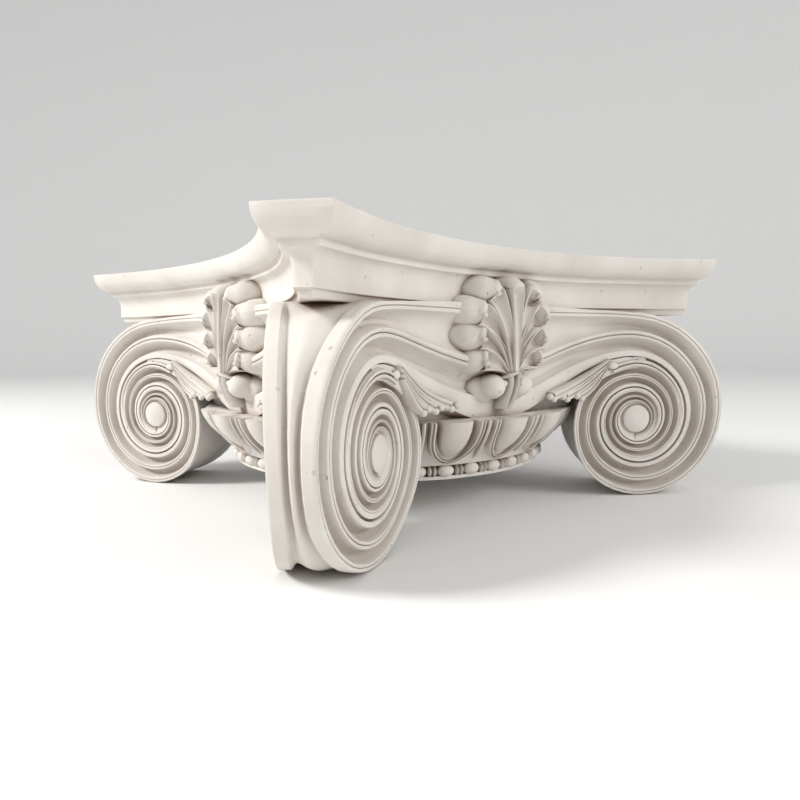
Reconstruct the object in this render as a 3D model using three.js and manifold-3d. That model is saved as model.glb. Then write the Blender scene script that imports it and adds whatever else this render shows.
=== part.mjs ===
// Angular ionic capital, cast in plaster as one piece.
// Millimetres, +Z up. The origin is the centre of the plan, at the undersides of the corner scrolls.
// The capital has four equal faces. Everything is worked out on the right half of the -Y face,
// then mirrored and turned about the axis.
import * as THREE from "three";
import { mergeVertices } from "three/addons/utils/BufferGeometryUtils.js";
import Module from "manifold-3d";

// Driving dimensions: the whole
const height = 200;
const turn = 2 * Math.PI;
const quarterTurn = turn / 4;
const plasterColour = 0xe6e0d8;

// Driving dimensions: abacus
const abacusSide = 400;
const abacusUnderside = 159.7;
const chamferWidth = 42.6;
const sideHollow = 56;
const ovoloDrop = 15.9;
const ovoloInset = 11.7;
const filletDrop = 4.1;
const filletInset = 12.3;
const cavettoDrop = 10;
const fasciaInset = 19;
const cornerSupportDrop = 10;
const cornerSupportInset = 50;

// Driving dimensions: plan of the scroll faces, straight behind the leaf and then bent to the corners
const faceFront = 152;
const faceBend = 0.5306;
const faceBendRadius = 110;
const eyeAcross = 134.2;

// Driving dimensions: volutes
const rimRadius = 89.8;
const pitch = 0.52;
const outlinePitch = 0.54;
const voluteTurns = 2;
const stepsPerTurn = 14;
const eyeRadius = 11.8;
const eyeCrown = 1.5;
const dishPerTurn = 0.8;
const reliefFade = 0.62;
const secondTurnSink = 2.5;
const innerRimLift = 2;

// Driving dimensions: the channel that hangs between two volutes
const channelSteps = 4;
const channelFlat = 10;
const spiralSlope = -0.104;
const channelTop = 160.2;

// Driving dimensions: the edge of a scroll, a band on either side of a middle roll
const edgeBand = 9.5;
const edgeGroove = 2.5;
const edgeRoll = 0.5;

// Driving dimensions: core, echinus and neck
const coreInset = 12;
const coreHalfSide = 95;
const coreBottom = 76;
const coreTop = 165;
const eggCount = 20;
const eggHollow = 7;
const beadCount = 40;
const beadHollow = 1.8;

// Each line of the scroll: v is its place across one turn of the spiral, depth is how far it lies behind
// the face there, middle and middleDepth are its height and depth at the middle of the face.
const scrollLines = [
  { v: 0, depth: 0, middle: channelTop, middleDepth: 0 },
  { v: 0.1, depth: 0, middle: 151.5, middleDepth: 0 },
  { v: 0.17, depth: 6, middle: 147.5, middleDepth: 6 },
  { v: 0.35, depth: 2, middle: 118, middleDepth: 0.5 },
  { v: 0.44, depth: 2, middle: 109.5, middleDepth: 0.5 },
  { v: 0.54, depth: 6.5, middle: 104, middleDepth: 8 },
  { v: 0.75, depth: 1, middle: 90, middleDepth: 5 },
  { v: 0.88, depth: 1, middle: 80.5, middleDepth: 5 },
  { v: 1, depth: secondTurnSink, middle: 0, middleDepth: 0 },
];

// The turned part, from the underside of the neck up: height, radius, and how far the beads or the
// hollows between eggs cut into it there.
const neckProfile = [
  { z: 30.9, r: 138.7, bead: 0, egg: 0 },
  { z: 33.6, r: 138.7, bead: 0, egg: 0 },
  { z: 37.5, r: 141.6, bead: 1, egg: 0 },
  { z: 40.6, r: 138.2, bead: 0, egg: 0 },
  { z: 43, r: 143, bead: 0, egg: 0 },
  { z: 52, r: 155, bead: 0, egg: 0.7 },
  { z: 65, r: 163, bead: 0, egg: 1 },
  { z: 76.6, r: 166, bead: 0, egg: 0.9 },
];

// Palmette: the tips of its lobes from the top round to the stem, as x, z and how far the tip stands out
// from the axis; each root is where the lobe's flank dies into the wall behind.
const leafTie = { x: 0, z: 108, out: 160 };
const leafLobes = [
  { x: 0, z: 174.5, out: 168, rootX: 0, rootZ: 178 },
  { x: 21, z: 168, out: 165, rootX: 36, rootZ: 170 },
  { x: 33.5, z: 153, out: 162, rootX: 53, rootZ: 154 },
  { x: 33, z: 136, out: 160.5, rootX: 52, rootZ: 136 },
  { x: 29, z: 119, out: 160, rootX: 44, rootZ: 115 },
  { x: 15, z: 98, out: 160, rootX: 27, rootZ: 92 },
  { x: 0, z: 84.5, out: 157, rootX: 0, rootZ: 80 },
];
const leafBack = 138;
const leafCleft = 0.74;
const leafCleftDepth = 5;

// Husk: three pods that come out from under the lower rim beside the volute and rest on the echinus.
// Places are along the face, height, and depth behind the face.
const huskCalyx = { s: 113, z: 113, half: 4, proud: 3 };
const huskTips = [
  { s: 54, z: 86, proud: 1.5 },
  { s: 69.5, z: 85.5, proud: 2 },
  { s: 83, z: 86, proud: 4 },
];
const podHalf = 5;
const huskBackDepth = 14;
const huskValley = 3.5;

const blend = (a, b, t) => a + (b - a) * t;
const smooth = (t) => t * t * (3 - 2 * t);

// A point on the right half of the -Y scroll face: s along the face from its middle, z up, out in front.
const bendTangent = faceBendRadius * Math.tan(faceBend / 2);
const eyeFront = faceFront + 29;
const bendCorner = eyeAcross - (eyeFront - faceFront) / Math.tan(faceBend);
const bendStart = bendCorner - bendTangent;
const bendLength = faceBendRadius * faceBend;
const bendEndX = bendCorner + bendTangent * Math.cos(faceBend);
const eyeS = bendStart + bendLength + (eyeAcross - bendEndX) / Math.cos(faceBend);

function facePoint(s, z, out) {
  const angle = Math.min(Math.max((s - bendStart) / faceBendRadius, 0), faceBend);
  const beyond = Math.max(s - bendStart - bendLength, 0);
  const x = Math.min(s, bendStart) + faceBendRadius * Math.sin(angle) + beyond * Math.cos(angle);
  const y = -faceFront - faceBendRadius * (1 - Math.cos(angle)) - beyond * Math.sin(angle);
  return [x - out * Math.sin(angle), y - out * Math.cos(angle), z];
}

// The outline of a volute reaches lowest just before half a turn, and the capital stands there.
function outlineRadius(turns) {
  return rimRadius * outlinePitch ** turns;
}
let lowestReach = 0;
for (let step = 0; step < stepsPerTurn; step++) {
  const turns = step / stepsPerTurn;
  lowestReach = Math.max(lowestReach, -outlineRadius(turns) * Math.cos(turn * turns));
}
const eyeHeight = lowestReach;

// Triangles are gathered as corner points and welded into a solid.
const wasm = await Module();
wasm.setup();

function solidFrom(triangles) {
  const geometry = new THREE.BufferGeometry();
  geometry.setAttribute("position", new THREE.Float32BufferAttribute(triangles.flat(2), 3));
  const welded = mergeVertices(geometry, 1e-3);
  const corners = [];
  const index = welded.index.array;
  for (let i = 0; i < index.length; i += 3) {
    const [a, b, c] = [index[i], index[i + 1], index[i + 2]];
    if (a !== b && b !== c && c !== a) corners.push(a, b, c);
  }
  return new wasm.Manifold(
    new wasm.Mesh({
      numProp: 3,
      vertProperties: welded.attributes.position.array,
      triVerts: new Uint32Array(corners),
    }),
  );
}

// Two triangles for the quad a, b, c, d, which runs anticlockwise seen from outside.
function quad(a, b, c, d) {
  return [
    [a, b, c],
    [a, c, d],
  ];
}

// Rings of equal length joined by quads, the first ring below the last, each anticlockwise from above.
function loft(rings) {
  const triangles = [];
  for (let row = 0; row + 1 < rings.length; row++) {
    const low = rings[row];
    const high = rings[row + 1];
    for (let i = 0; i < low.length; i++) {
      const j = (i + 1) % low.length;
      triangles.push(...quad(low[i], low[j], high[j], high[i]));
    }
  }
  return triangles;
}

function fan(centre, ring, facingUp) {
  return ring.map((point, i) => {
    const next = ring[(i + 1) % ring.length];
    return facingUp ? [centre, point, next] : [centre, next, point];
  });
}

const mirrorAcrossDiagonal = ([x, y, z]) => [-y, -x, z];
const mirrorAcrossFace = ([x, y, z]) => [-x, y, z];
const quarterRound = ([x, y, z]) => [-y, x, z];

function mapTriangles(triangles, move, flips) {
  return triangles.map(([a, b, c]) => (flips ? [move(a), move(c), move(b)] : [move(a), move(b), move(c)]));
}

function fourTimes(triangles) {
  const all = [...triangles];
  let copy = triangles;
  for (let side = 1; side < 4; side++) {
    copy = mapTriangles(copy, quarterRound, false);
    all.push(...copy);
  }
  return all;
}

// Abacus: hollow sides between chamfered corners, moulded with an ovolo, a fillet and a cavetto. Its
// underside slopes down to the scrolls, so that the corners are carried.
function abacusSolid() {
  const halfSide = abacusSide / 2;
  const chamferReach = chamferWidth / 2 / Math.SQRT2;
  const chordHalf = halfSide - chamferReach;
  const chordFront = halfSide + chamferReach;
  const sideRadius = (chordHalf ** 2 + sideHollow ** 2) / (2 * sideHollow);
  const sideCentre = chordFront - sideHollow + sideRadius;
  const stepsPerSide = 8;

  function ring(z, inset) {
    const radius = sideRadius + inset;
    const diagonal = halfSide * Math.SQRT2 - inset;
    const k = sideCentre - diagonal * Math.SQRT2;
    const cornerX = (Math.sqrt(2 * radius ** 2 - k ** 2) - k) / 2;
    const reach = Math.asin(cornerX / radius);
    const side = [];
    for (let step = 0; step <= stepsPerSide; step++) {
      const angle = blend(-reach, reach, step / stepsPerSide);
      side.push([radius * Math.sin(angle), radius * Math.cos(angle) - sideCentre, z]);
    }
    const points = [];
    let copy = side;
    for (let k4 = 0; k4 < 4; k4++) {
      points.push(...copy);
      copy = copy.map(quarterRound);
    }
    return points;
  }

  const ovoloFoot = height - ovoloDrop;
  const cavettoHead = ovoloFoot - filletDrop;
  const rings = [
    ring(abacusUnderside - cornerSupportDrop, cornerSupportInset),
    ring(abacusUnderside, fasciaInset),
  ];
  for (const part of [1, 0.5, 0]) {
    const angle = part * quarterTurn;
    const inset = blend(filletInset, fasciaInset, Math.sin(angle));
    rings.push(ring(cavettoHead - cavettoDrop * (1 - Math.cos(angle)), inset));
  }
  rings.push(ring(cavettoHead, ovoloInset));
  for (const part of [1, 0.6, 0]) {
    const angle = part * quarterTurn;
    rings.push(ring(height - ovoloDrop * Math.sin(angle), ovoloInset * (1 - Math.cos(angle))));
  }
  return solidFrom([
    ...loft(rings),
    ...fan([0, 0, abacusUnderside - cornerSupportDrop], rings[0], false),
    ...fan([0, 0, height], rings[rings.length - 1], true),
  ]);
}

// Height of a channel line at a place s between the middle of the face and the eye.
function channelHeight(line, s) {
  const end = eyeHeight + rimRadius * pitch ** line.v;
  const span = eyeS - channelFlat;
  const t = Math.min(Math.max((s - channelFlat) / span, 0), 1);
  return blend(line.middle, end, smooth(t)) + spiralSlope * span * (t ** 3 - t ** 2);
}

// How far the rim stands in front of the face after so many turns.
function rimOut(turns) {
  if (turns < 0.8) return (innerRimLift * turns) / 0.8;
  if (turns < 1) return blend(innerRimLift, -secondTurnSink, (turns - 0.8) / 0.2);
  return -secondTurnSink;
}

// Vertex of the scroll sheet: columns run from the middle of the face along the channel and then round
// the volute, rows run across the moulding.
const lastRow = scrollLines.length - 1;
const lastColumn = channelSteps + voluteTurns * stepsPerTurn;

function sheetPoint(column, row) {
  const line = scrollLines[row];
  if (column < channelSteps) {
    const part = column / channelSteps;
    const s = eyeS * part;
    const depth = blend(line.middleDepth, line.depth, smooth(part));
    const z = row === 0 ? channelTop : channelHeight(line, s);
    return facePoint(s, z, -depth);
  }
  const turns = (column - channelSteps) / stepsPerTurn;
  if (row === lastRow) return sheetRim(turns + 1);
  if (row === 0) return sheetRim(turns);
  const radius = rimRadius * pitch ** (turns + line.v);
  const out = -line.depth * reliefFade ** turns - dishPerTurn * (turns + line.v);
  return volutePoint(turns, radius, out);
}

function sheetRim(turns) {
  const radius = turns <= 1 ? outlineRadius(turns) : outlineRadius(1) * pitch ** (turns - 1);
  return volutePoint(turns, radius, rimOut(turns));
}

function volutePoint(turns, radius, out) {
  const angle = turn * turns;
  return facePoint(eyeS + radius * Math.sin(angle), eyeHeight + radius * Math.cos(angle), out);
}

// The scrolls: the four faces, the edges that join two faces at each corner, and flat closings inside.
function scrollSolid() {
  const face = [];
  for (let column = 0; column < lastColumn; column++) {
    const rows = column < channelSteps ? lastRow - 1 : lastRow;
    for (let row = 0; row < rows; row++) {
      face.push(
        ...quad(
          sheetPoint(column, row + 1),
          sheetPoint(column + 1, row + 1),
          sheetPoint(column + 1, row),
          sheetPoint(column, row),
        ),
      );
    }
  }

  // The eye is a button inside the last turn.
  const eyeSink = -secondTurnSink - dishPerTurn;
  const loop = [];
  for (let column = lastColumn - stepsPerTurn; column <= lastColumn; column++) {
    const turns = (column - channelSteps) / stepsPerTurn;
    loop.push({ outer: sheetPoint(column, lastRow), inner: volutePoint(turns, eyeRadius, eyeSink) });
  }
  const eyeCentre = volutePoint(0, 0, eyeSink + eyeCrown);
  for (let i = 0; i < stepsPerTurn; i++) {
    const [a, b] = [loop[i], loop[i + 1]];
    const innerEnd = i + 1 === stepsPerTurn ? loop[0].inner : b.inner;
    face.push(...quad(a.inner, innerEnd, b.outer, a.outer));
    face.push([eyeCentre, innerEnd, a.inner]);
  }
  const lastEnd = loop[0].inner;
  for (let row = lastRow; row > 0; row--) {
    face.push([lastEnd, sheetPoint(lastColumn, row - 1), sheetPoint(lastColumn, row)]);
  }

  // The open border of the face runs along the top, round the volute and back under the channel.
  const border = [];
  for (let column = 0; column <= channelSteps + stepsPerTurn; column++) {
    const turns = Math.max((column - channelSteps) / stepsPerTurn, 0);
    const swell = column > channelSteps && turns < 1 ? 1 : 0;
    border.push({ point: sheetPoint(column, 0), angle: turn * turns, swell });
  }
  for (let column = channelSteps; column >= 0; column--) {
    border.push({ point: sheetPoint(column, lastRow - 1), angle: 0, swell: 0 });
  }

  // One rib of the edge, straight across the corner from face to face.
  function rib({ point, angle, swell }) {
    const far = mirrorAcrossDiagonal(point);
    const width = Math.hypot(point[0] - far[0], point[1] - far[1]);
    const across = (t, out) => {
      const sideways = (Math.sin(angle) * out) / Math.SQRT2;
      return [
        blend(point[0], far[0], t) + sideways,
        blend(point[1], far[1], t) - sideways,
        point[2] + Math.cos(angle) * out,
      ];
    };
    const band = Math.min(edgeBand / width, 0.35);
    return [
      point,
      across(band, -edgeGroove * swell),
      across(0.5, -edgeRoll * swell),
      across(1 - band, -edgeGroove * swell),
      far,
    ];
  }
  const ribs = border.map(rib);
  const edge = [];
  for (let i = 0; i + 1 < ribs.length; i++) {
    for (let k = 0; k + 1 < ribs[i].length; k++) {
      edge.push(...quad(ribs[i][k], ribs[i + 1][k], ribs[i + 1][k + 1], ribs[i][k + 1]));
    }
  }

  // Flat closings across the middle, inside the capital.
  const topRib = ribs[0];
  const bottomRib = ribs[ribs.length - 1];
  const closings = [];
  for (let k = 0; k + 1 < topRib.length; k++) {
    closings.push([[0, 0, topRib[0][2]], topRib[k], topRib[k + 1]]);
    closings.push([[0, 0, bottomRib[0][2]], bottomRib[k + 1], bottomRib[k]]);
  }
  const corner = [...face, ...mapTriangles(face, mirrorAcrossDiagonal, true), ...edge, ...closings];
  return solidFrom(fourTimes(corner));
}

// Core: the wall behind the channels, under the abacus.
function coreSolid() {
  const front = faceFront - coreInset;
  const side = [
    [-coreHalfSide, -front - coreInset / 2],
    [0, -front],
    [coreHalfSide, -front - coreInset / 2],
  ];
  const ring = (z) => {
    const points = [];
    let copy = side.map(([x, y]) => [x, y, z]);
    for (let k = 0; k < 4; k++) {
      points.push(...copy);
      copy = copy.map(quarterRound);
    }
    return points;
  };
  const low = ring(coreBottom);
  const high = ring(coreTop);
  return solidFrom([
    ...loft([low, high]),
    ...fan([0, 0, coreBottom], low, false),
    ...fan([0, 0, coreTop], high, true),
  ]);
}

// Neck, astragal of beads and echinus of eggs, turned about the axis.
function neckSolid() {
  const columns = eggCount * 4;
  const rings = neckProfile.map(({ z, r, bead, egg }) => {
    const points = [];
    for (let column = 0; column < columns; column++) {
      const angle = (turn * column) / columns - quarterTurn;
      const fromEgg = Math.abs(((column + 2) % 4) - 2) / 2;
      const eggCut = egg * eggHollow * fromEgg ** 2;
      const beadCut = bead * beadHollow * (column % (columns / beadCount));
      const radius = r - eggCut - beadCut;
      points.push([radius * Math.cos(angle), radius * Math.sin(angle), z]);
    }
    return points;
  });
  const last = neckProfile[neckProfile.length - 1].z;
  return solidFrom([
    ...loft(rings),
    ...fan([0, 0, neckProfile[0].z], rings[0], false),
    ...fan([0, 0, last], rings[rings.length - 1], true),
  ]);
}

// Palmette: lobes round the tie, with clefts between them, closed by flanks that run back into the wall.
function leafTriangles() {
  const half = [];
  leafLobes.forEach((lobe, i) => {
    half.push({ ...lobe, cleft: false });
    const next = leafLobes[i + 1];
    if (!next) return;
    const x = (lobe.x + next.x) / 2;
    const z = (lobe.z + next.z) / 2;
    half.push({
      x: blend(leafTie.x, x, leafCleft),
      z: blend(leafTie.z, z, leafCleft),
      out: (lobe.out + next.out) / 2 - leafCleftDepth,
      rootX: (lobe.rootX + next.rootX) / 2,
      rootZ: (lobe.rootZ + next.rootZ) / 2,
      cleft: true,
    });
  });
  const others = half.slice(1, -1).map((spoke) => ({ ...spoke, x: -spoke.x, rootX: -spoke.rootX }));
  const spokes = [...half, ...others.reverse()];
  const rows = spokes.map((spoke) => {
    const at = (t, crest) => {
      const out = blend(leafTie.out, spoke.out, t) + (spoke.cleft ? -crest : crest);
      return [blend(leafTie.x, spoke.x, t), -out, blend(leafTie.z, spoke.z, t)];
    };
    const tip = [spoke.x, -spoke.out + 2, spoke.z];
    return [at(0.5, 1.2), at(0.9, 1.5), tip, [spoke.rootX, -leafBack, spoke.rootZ]];
  });
  const centre = [leafTie.x, -leafTie.out, leafTie.z];
  const back = [leafTie.x, -leafBack, leafTie.z];
  const triangles = [];
  rows.forEach((row, i) => {
    const next = rows[(i + 1) % rows.length];
    triangles.push([centre, next[0], row[0]]);
    for (let k = 0; k + 1 < row.length; k++) {
      triangles.push(...quad(row[k], next[k], next[k + 1], row[k + 1]));
    }
    triangles.push([back, row[row.length - 1], next[next.length - 1]]);
  });
  return triangles;
}

// Husk: three ridges from the calyx to the tips.
function huskTriangles() {
  const sections = [0, 0.85, 1].map((t) => {
    const front = [];
    const back = [];
    huskTips.forEach((tip, i) => {
      const calyxZ = huskCalyx.z - (i - 1) * huskCalyx.half;
      const along = { s: tip.s - huskCalyx.s, z: tip.z - calyxZ };
      const length = Math.hypot(along.s, along.z);
      const half = blend(huskCalyx.half / 2, podHalf, t);
      for (const side of [-1, 0, 1]) {
        if (side === 1 && i < huskTips.length - 1) continue;
        const s = huskCalyx.s + along.s * t - (along.z / length) * side * half;
        const z = calyxZ + along.z * t + (along.s / length) * side * half;
        const proud = blend(huskCalyx.proud, tip.proud, t);
        const cut = t === 1 ? huskValley : 0;
        front.push(facePoint(s, z, side === 0 ? proud + 2 - cut : proud - huskValley * t - cut));
        back.push(facePoint(s, z, -huskBackDepth));
      }
    });
    return [...front, ...back.reverse()];
  });
  const first = sections[0];
  const last = sections[sections.length - 1];
  const middleOf = (ring) => [0, 1, 2].map((k) => ring.reduce((sum, p) => sum + p[k], 0) / ring.length);
  return [
    ...loft(sections),
    ...fan(middleOf(first), first, false),
    ...fan(middleOf(last), last, true),
  ];
}

function withOutside(triangles) {
  const solid = solidFrom(triangles);
  if (solid.volume() > 0) return solid;
  return solidFrom(mapTriangles(triangles, (point) => point, true));
}

const solids = [abacusSolid(), scrollSolid(), coreSolid(), neckSolid()];
let leaf = leafTriangles();
let husk = huskTriangles();
let huskTwin = mapTriangles(husk, mirrorAcrossFace, true);
for (let side = 0; side < 4; side++) {
  for (const ornament of [leaf, husk, huskTwin]) solids.push(withOutside(ornament));
  leaf = mapTriangles(leaf, quarterRound, false);
  husk = mapTriangles(husk, quarterRound, false);
  huskTwin = mapTriangles(huskTwin, quarterRound, false);
}
const whole = solids.reduce((sum, solid) => sum.add(solid));

function geometryOf(solid) {
  const mesh = solid.getMesh();
  const geometry = new THREE.BufferGeometry();
  geometry.setAttribute("position", new THREE.BufferAttribute(new Float32Array(mesh.vertProperties), 3));
  geometry.setIndex(new THREE.BufferAttribute(new Uint32Array(mesh.triVerts), 1));
  geometry.computeVertexNormals();
  return geometry;
}

const plaster = new THREE.MeshStandardMaterial({ color: plasterColour, roughness: 0.9, metalness: 0 });
const capital = new THREE.Mesh(geometryOf(whole), plaster);
capital.name = "ionic_capital";

const group = new THREE.Group();
group.add(capital);
export default group;
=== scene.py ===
import math

import bmesh
import bpy
from mathutils import Matrix, Vector, noise


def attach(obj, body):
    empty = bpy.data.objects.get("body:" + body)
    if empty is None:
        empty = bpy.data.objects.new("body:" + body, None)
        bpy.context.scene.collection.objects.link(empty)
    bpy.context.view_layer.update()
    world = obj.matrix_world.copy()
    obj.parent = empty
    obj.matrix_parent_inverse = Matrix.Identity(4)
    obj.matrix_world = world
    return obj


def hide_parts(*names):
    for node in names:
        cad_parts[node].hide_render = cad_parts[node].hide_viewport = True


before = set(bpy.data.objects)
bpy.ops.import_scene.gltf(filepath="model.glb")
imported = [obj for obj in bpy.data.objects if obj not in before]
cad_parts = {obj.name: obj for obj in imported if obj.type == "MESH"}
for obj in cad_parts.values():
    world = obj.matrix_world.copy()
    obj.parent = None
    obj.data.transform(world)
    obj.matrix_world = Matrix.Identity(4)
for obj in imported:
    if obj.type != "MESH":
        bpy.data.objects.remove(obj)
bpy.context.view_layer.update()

# Abacus: the moulded slab on top, with four hollow sides and cut-off corners, in solid cast plaster.
# The mould was run as one moulding round the plan: ovolo, fillet, cavetto and a plain fascia below.
# Every size in this file is in millimetres, and MM turns it into Blender's metres.
MM = 0.001
HEIGHT = 200
ABACUS_SIDE = 400
CHAMFER_WIDTH = 42.6
SIDE_HOLLOW = 56
SIDE_STEPS = 30
CHAMFER_STEPS = 4
OVOLO_DROP = 15.9
OVOLO_INSET = 11.7
FILLET_DROP = 4.1
FILLET_STEP = 0.6
CAVETTO_DROP = 10
CAVETTO_INSET = 6.7
FASCIA_DROP = 10.3
UNDERSIDE_FLAT = 1.5
SLAB_ROOT = (2.4, 5)
ARRIS = 0.5
ARRIS_ANGLE = 40
OVOLO_STEPS = 8
CAVETTO_STEPS = 7
LIP = 1.4
CHAMFER_LEAN = 0.9
WELD = 0.01


def blend(a, b, t):
    return a + (b - a) * t


def smooth(t):
    t = min(max(t, 0), 1)
    return t * t * (3 - 2 * t)


def deselect_all():
    bpy.ops.object.select_all(action="DESELECT")


def named(name):
    piece = bpy.context.object
    piece.name = name
    piece.data.name = name
    return piece


def round_edges(piece, width, segments):
    bevel = piece.modifiers.new("arris", "BEVEL")
    bevel.width = width * MM
    bevel.segments = segments
    bevel.limit_method = "ANGLE"
    bevel.angle_limit = math.radians(ARRIS_ANGLE)
    bpy.context.view_layer.objects.active = piece
    bpy.ops.object.modifier_apply(modifier=bevel.name)


def mesh_piece(name, faces):
    """A closed piece from faces given as lists of points in millimetres."""
    places, polygons = [], []
    for face in faces:
        polygons.append(range(len(places), len(places) + len(face)))
        places.extend(point * MM for point in face)
    mesh = bpy.data.meshes.new(name)
    mesh.from_pydata(places, [], polygons)
    shaped = bmesh.new()
    shaped.from_mesh(mesh)
    bmesh.ops.remove_doubles(shaped, verts=shaped.verts, dist=WELD * MM)
    bmesh.ops.recalc_face_normals(shaped, faces=shaped.faces)
    if shaped.calc_volume(signed=True) < 0:
        bmesh.ops.reverse_faces(shaped, faces=shaped.faces)
    shaped.to_mesh(mesh)
    shaped.free()
    piece = bpy.data.objects.new(name, mesh)
    bpy.context.collection.objects.link(piece)
    return piece


def quarter_round(point):
    return Vector((-point.y, point.x, point.z))


def abacus_ring(z, inset):
    """The slab's outline at a height, set in from the top's: four arcs and four straight chamfers."""
    reach = CHAMFER_WIDTH / 2 / math.sqrt(2)
    half_chord = ABACUS_SIDE / 2 - reach
    top_radius = (half_chord**2 + SIDE_HOLLOW**2) / (2 * SIDE_HOLLOW)
    centre = ABACUS_SIDE / 2 + reach - SIDE_HOLLOW + top_radius
    radius = top_radius + inset
    across = centre - ABACUS_SIDE + inset * CHAMFER_LEAN * math.sqrt(2)
    corner_x = (math.sqrt(2 * radius**2 - across**2) - across) / 2
    widest = math.asin(corner_x / radius)
    side = []
    for step in range(SIDE_STEPS + 1):
        angle = blend(-widest, widest, step / SIDE_STEPS)
        side.append(Vector((radius * math.sin(angle), radius * math.cos(angle) - centre, z)))
    start, end = side[-1], quarter_round(side[0])
    side.extend(start.lerp(end, step / CHAMFER_STEPS) for step in range(1, CHAMFER_STEPS))
    ring = []
    for _ in range(4):
        ring.extend(side)
        side = [quarter_round(point) for point in side]
    return ring


def lofted(rings):
    faces = [list(reversed(rings[0])), rings[-1]]
    for ring, following in zip(rings, rings[1:]):
        for k in range(len(ring)):
            after = (k + 1) % len(ring)
            faces.append([ring[k], ring[after], following[after], following[k]])
    return faces


rings = []
for step in range(OVOLO_STEPS + 1):
    angle = math.radians(90 * step / OVOLO_STEPS)
    rings.append(abacus_ring(HEIGHT - OVOLO_DROP * math.sin(angle), OVOLO_INSET * (1 - math.cos(angle))))
cavetto_head = HEIGHT - OVOLO_DROP - FILLET_DROP
rings.append(abacus_ring(HEIGHT - OVOLO_DROP, OVOLO_INSET + FILLET_STEP))
rings.append(abacus_ring(cavetto_head, OVOLO_INSET + FILLET_STEP))
fascia_inset = OVOLO_INSET + FILLET_STEP + CAVETTO_INSET
for step in range(1, CAVETTO_STEPS + 1):
    angle = math.radians(90 * step / CAVETTO_STEPS)
    inset = fascia_inset - CAVETTO_INSET * (1 - math.sin(angle))
    rings.append(abacus_ring(cavetto_head - CAVETTO_DROP * (1 - math.cos(angle)), inset))
fascia_foot = cavetto_head - CAVETTO_DROP - FASCIA_DROP
rings.append(abacus_ring(fascia_foot + LIP, fascia_inset))
rings.append(abacus_ring(fascia_foot, fascia_inset - LIP / 2))
rings.append(abacus_ring(fascia_foot, fascia_inset + UNDERSIDE_FLAT))
rings.append(abacus_ring(fascia_foot - SLAB_ROOT[1], fascia_inset + SLAB_ROOT[0]))
abacus = mesh_piece("abacus", lofted(rings))
round_edges(abacus, ARRIS, 1)

# Scrolls: each face is a sheet of channels that hangs between two volutes and winds into their eyes,
# and each corner's two volutes are joined by one broad edge with a roll down its middle. Cast in one
# with the slab. The spiral mouldings are laid out point by point, since no operator winds such a sheet.
FACE_FRONT = 152
FACE_BEND = 0.5306
BEND_RADIUS = 110
EYE_ACROSS = 132.6
EYE_FRONT = 179.3
EYE_HEIGHT = 66.45
RIM_RADIUS = 89.8
PITCH = 0.52
OUTLINE_PITCH = 0.54
TURNS = 2.5
TURN_STEPS = 44
CHANNEL_STEPS = 20
CHANNEL_FLAT = 10
SPIRAL_SLOPE = -0.104
CHANNEL_TOP = 160.2
COIL_SINK = 2.4
RELIEF_FADE = 0.66
EYE_RADIUS = 11.7
EYE_CROWN = 2.2
EYE_MARGIN = 1.8
COIL_CROWDING = 1.6
FADE_OUT = 0.55
# Rings of the eye, from the last coil inward: radius and how far each stands out.
EYE_RINGS = [
    (EYE_RADIUS + 1.2, -2.4),
    (EYE_RADIUS + 0.4, -2.4),
    (EYE_RADIUS - 0.3, 0.2),
    (9, 1.2),
    (5, 1.8),
]
OUTER_SHARE = 0.2
INNER_SHARE = 0.85
EDGE_BAND = 9.5
EDGE_GROOVE = 4.2
EDGE_ROLL = 0.4

# Lines across one turn of the scroll: place v in turns, depth behind the face, then height and depth at
# the middle of the face. A cove between two lines is added as rows of its own.
SCROLL_LINES = [
    (0, 0.8, 160.2, 0.8),
    (0.012, 0, 159.2, 0),
    (0.046, 0, 155.5, 0),
    (0.054, 0.8, 155, 0.8),
    (0.062, 0, 154.4, 0),
    (0.094, 0, 152, 0),
    (0.1, 0.6, 151.4, 0.6),
    ("cove", 8.6, 9),
    (0.292, 0.8, 120, 0.4),
    (0.3, 0.1, 119, -0.8),
    (0.33, -0.4, 116.6, -1.3),
    (0.35, 0.2, 115.4, -0.8),
    (0.359, 1.5, 114.7, 0.6),
    (0.368, 0.2, 114, -0.8),
    (0.388, -0.3, 113.2, -1.3),
    (0.414, 0.1, 112, -0.8),
    (0.422, 0.9, 111.2, 0.4),
    ("cove", 8.8, 11),
    (0.668, 0.7, 91.4, 7.6),
    (0.69, 0, 89.8, 6.8),
    (0.745, 0, 84.5, 7.2),
    (0.792, 0, 80.4, 7.6),
    (0.803, 0.8, 74, 8.4),
    (0.822, 4.2, 73, 10),
    (0.846, 4.4, 72, 12),
    (0.868, 0.9, 71, 12),
    (0.884, 0, 70, 12),
    (1, 0, 66, 12),
]
COVE_ROWS = 5
COVE_ROUNDING = 0.66
CHANNEL_EDGE = 0.803
RIM_LEVELS_FROM = 60


def with_coves(lines):
    rows = []
    for place, line in enumerate(lines):
        if line[0] != "cove":
            rows.append(line)
            continue
        first, last = lines[place - 1], lines[place + 1]
        for step in range(1, COVE_ROWS + 1):
            across = 0.5 - 0.5 * math.cos(math.pi * step / (COVE_ROWS + 1))
            hollow = (1 - (2 * across - 1) ** 2) ** COVE_ROUNDING
            row = [blend(first[k], last[k], across) for k in range(4)]
            row[1] += line[1] * hollow
            row[3] += line[2] * hollow
            rows.append(tuple(row))
    return rows


ROWS = with_coves(SCROLL_LINES)
LAST_ROW = len(ROWS) - 1
CHANNEL_LAST_ROW = max(k for k, row in enumerate(ROWS) if row[0] <= CHANNEL_EDGE)
LAST_COLUMN = CHANNEL_STEPS + round(TURNS * TURN_STEPS)

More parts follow.
